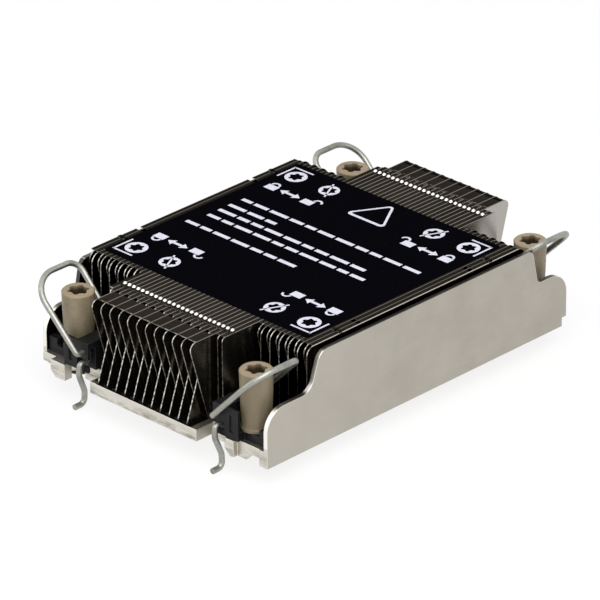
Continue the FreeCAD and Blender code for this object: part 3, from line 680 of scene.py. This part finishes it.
def draw_triangle(work):
    """A plain rounded triangle."""
    outer, inner = (rounded_triangle(TRIANGLE_X, *shape) for shape in (TRIANGLE_OUTER, TRIANGLE_INNER))
    add_band(work, outer, inner)


def draw_lines(work):
    """Plain bars of uneven length in the place of the printed lines."""
    for y, start, end in LINES:
        x = start
        step = 0
        while x < end - SHORTEST_BAR:
            length = BAR_LENGTH + BAR_SPREAD * math.sin(step * BAR_RHYTHM + y) ** 2
            stop = min(x + length, end)
            stroke(work, (x * MM, y * MM), (stop * MM, y * MM), BAR_WIDTH * MM)
            x = stop + BAR_GAP
            step += 1


# ---------------------------------------------------------------- lips at the back

LIP_INSET = 2.65 * MM
LIP_REACH = 1.25 * MM
SHEET = 0.3 * MM


def draw_back_lips(work):
    """The last stretch of the wide top lips at the back, from where the solids' own lips end."""
    for number in range(4, CENTRE_FINS - 1, 2):
        low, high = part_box(f"long_fin_{number:02d}")
        inner = high.x - SHEET
        start = high.y - LIP_INSET
        middle = Vector(((low.x + inner) / 2, start + LIP_REACH / 2, STACK_TOP - SHEET / 2))
        size = Matrix.Diagonal((inner - low.x, LIP_REACH, SHEET, 1.0))
        bmesh.ops.create_cube(work, size=1.0, matrix=Matrix.Translation(middle) @ size)


# ---------------------------------------------------------------- highlight beads on the lock tabs

BEAD_PLACE = 43.9 * MM
BEAD_LIFT = 0.12 * MM
BEAD_HALF = (0.52 * MM, 0.62 * MM, 0.72 * MM)
BEAD_PHASE = 0.02


def draw_beads(end):
    """A bead between each two long fins at one end. The phase is a part of the pitch."""
    def maker(work):
        for order in range(1, CENTRE_FINS):
            x = (order - CENTRE_FINS / 2 + BEAD_PHASE) * FIN_PITCH
            size = Matrix.Diagonal((*BEAD_HALF, 1.0))
            spot = Matrix.Translation((x, end * BEAD_PLACE, STACK_TOP + BEAD_LIFT))
            bmesh.ops.create_uvsphere(work, u_segments=14, v_segments=8, radius=1.0, matrix=spot @ size)
    return maker


# ---------------------------------------------------------------- studio

VIEW_AZIMUTH = math.radians(44.44)
VIEW_ELEVATION = math.radians(26.52)
VIEW_ROLL = math.radians(-0.42)
VIEW_DISTANCE = 1.3737
LENS = 334.65
LOOK_AT = Vector((0.0, 0.0, 0.0175))
LOOK_RIGHT = -0.00156
LOOK_UP = 0.00022

LAMP_TARGET = Vector((0.0, 0.0, 0.01))
LAMP_SIZE = 0.9
FLOOR_HALF = 1.6
PAPER = (0.86, 0.86, 0.86, 1.0)
PAPER_GLOW = 1.03
GLOW_SHARE = 0.8
SKY_LIGHT, SKY_SHOWN = 0.55, 1.0


def make_camera():
    right = Vector((math.cos(VIEW_AZIMUTH), math.sin(VIEW_AZIMUTH), 0.0))
    back = Vector((math.sin(VIEW_AZIMUTH) * math.cos(VIEW_ELEVATION),
                   -math.cos(VIEW_AZIMUTH) * math.cos(VIEW_ELEVATION), math.sin(VIEW_ELEVATION)))
    up = back.cross(right)
    place = LOOK_AT + back * VIEW_DISTANCE
    back = (place - LOOK_AT - right * LOOK_RIGHT - up * LOOK_UP).normalized()
    level = Vector((0.0, 0.0, 1.0)).cross(back).normalized()
    upright = back.cross(level)
    tilted = level * math.cos(VIEW_ROLL) + upright * math.sin(VIEW_ROLL)
    upright = back.cross(tilted)
    camera = bpy.data.objects.new("camera", bpy.data.cameras.new("camera"))
    camera.data.lens = LENS
    camera.data.sensor_width = 36.0
    camera.data.clip_start = 0.1
    camera.data.clip_end = 10.0
    turn = Matrix((tilted, upright, back)).transposed()
    camera.matrix_world = Matrix.Translation(place) @ turn.to_4x4()
    bpy.context.scene.collection.objects.link(camera)
    bpy.context.scene.camera = camera


def make_area(name, place, power):
    """A large soft lamp that points at the object."""
    lamp = bpy.data.lights.new(name, "AREA")
    lamp.shape = "RECTANGLE"
    lamp.size = lamp.size_y = LAMP_SIZE
    lamp.energy = power
    holder = bpy.data.objects.new(name, lamp)
    turn = (LAMP_TARGET - Vector(place)).to_track_quat("-Z", "Y").to_matrix()
    holder.matrix_world = Matrix.Translation(place) @ turn.to_4x4()
    bpy.context.scene.collection.objects.link(holder)


def background_rays(tree):
    """1 for the rays that show the background: camera, glossy and transmission rays."""
    path = tree.nodes.new("ShaderNodeLightPath")
    shown = path.outputs["Is Camera Ray"]
    for other in ("Is Glossy Ray", "Is Transmission Ray"):
        joined = tree.nodes.new("ShaderNodeMath")
        joined.operation = "MAXIMUM"
        tree.links.new(shown, joined.inputs[0])
        tree.links.new(path.outputs[other], joined.inputs[1])
        shown = joined.outputs[0]
    return shown


def make_floor():
    """Plain paper that shows white and still takes the object's shadow."""
    mesh = bpy.data.meshes.new("floor")
    work = bmesh.new()
    bmesh.ops.create_grid(work, x_segments=1, y_segments=1, size=FLOOR_HALF)
    work.to_mesh(mesh)
    work.free()
    floor = bpy.data.objects.new("floor", mesh)
    bpy.context.scene.collection.objects.link(floor)
    paper = bpy.data.materials.new("floor_paper")
    paper.use_nodes = True
    tree = paper.node_tree
    diffuse = tree.nodes["Principled BSDF"]
    diffuse.inputs["Base Color"].default_value = PAPER
    diffuse.inputs["Roughness"].default_value = 0.9
    glow = tree.nodes.new("ShaderNodeEmission")
    glow.inputs["Strength"].default_value = PAPER_GLOW
    seen = tree.nodes.new("ShaderNodeMath")
    seen.operation = "MULTIPLY"
    seen.inputs[1].default_value = GLOW_SHARE
    tree.links.new(background_rays(tree), seen.inputs[0])
    blend = tree.nodes.new("ShaderNodeMixShader")
    tree.links.new(seen.outputs[0], blend.inputs[0])
    tree.links.new(diffuse.outputs[0], blend.inputs[1])
    tree.links.new(glow.outputs[0], blend.inputs[2])
    tree.links.new(blend.outputs[0], tree.nodes["Material Output"].inputs["Surface"])
    mesh.materials.append(paper)


def make_world():
    """A white surround that looks brighter than the light it gives."""
    world = bpy.data.worlds.new("studio")
    bpy.context.scene.world = world
    world.use_nodes = True
    tree = world.node_tree
    sky = tree.nodes["Background"]
    sky.inputs["Color"].default_value = (1.0, 1.0, 1.0, 1.0)
    strength = tree.nodes.new("ShaderNodeMapRange")
    strength.inputs["To Min"].default_value = SKY_LIGHT
    strength.inputs["To Max"].default_value = SKY_SHOWN
    tree.links.new(background_rays(tree), strength.inputs["Value"])
    tree.links.new(strength.outputs[0], sky.inputs["Strength"])


def make_studio():
    make_camera()
    make_floor()
    make_world()
    make_area("key", (0.5, -0.35, 0.75), 8.0)
    make_area("fill", (-0.7, -0.5, 0.5), 2.0)
    bpy.context.scene.view_settings.view_transform = "Standard"


dress_nodes()
add_piece("label_print", draw_label, make_print_finish(), "heatsink")
add_piece("fin_lips_back", draw_back_lips, FINISHES["fins"], "heatsink")
bead_finish = make_tab_highlight_finish()
for place, end in (("front", -1), ("back", 1)):
    add_piece(f"tab_highlight_beads_{place}", draw_beads(end), bead_finish, "heatsink")
make_studio()
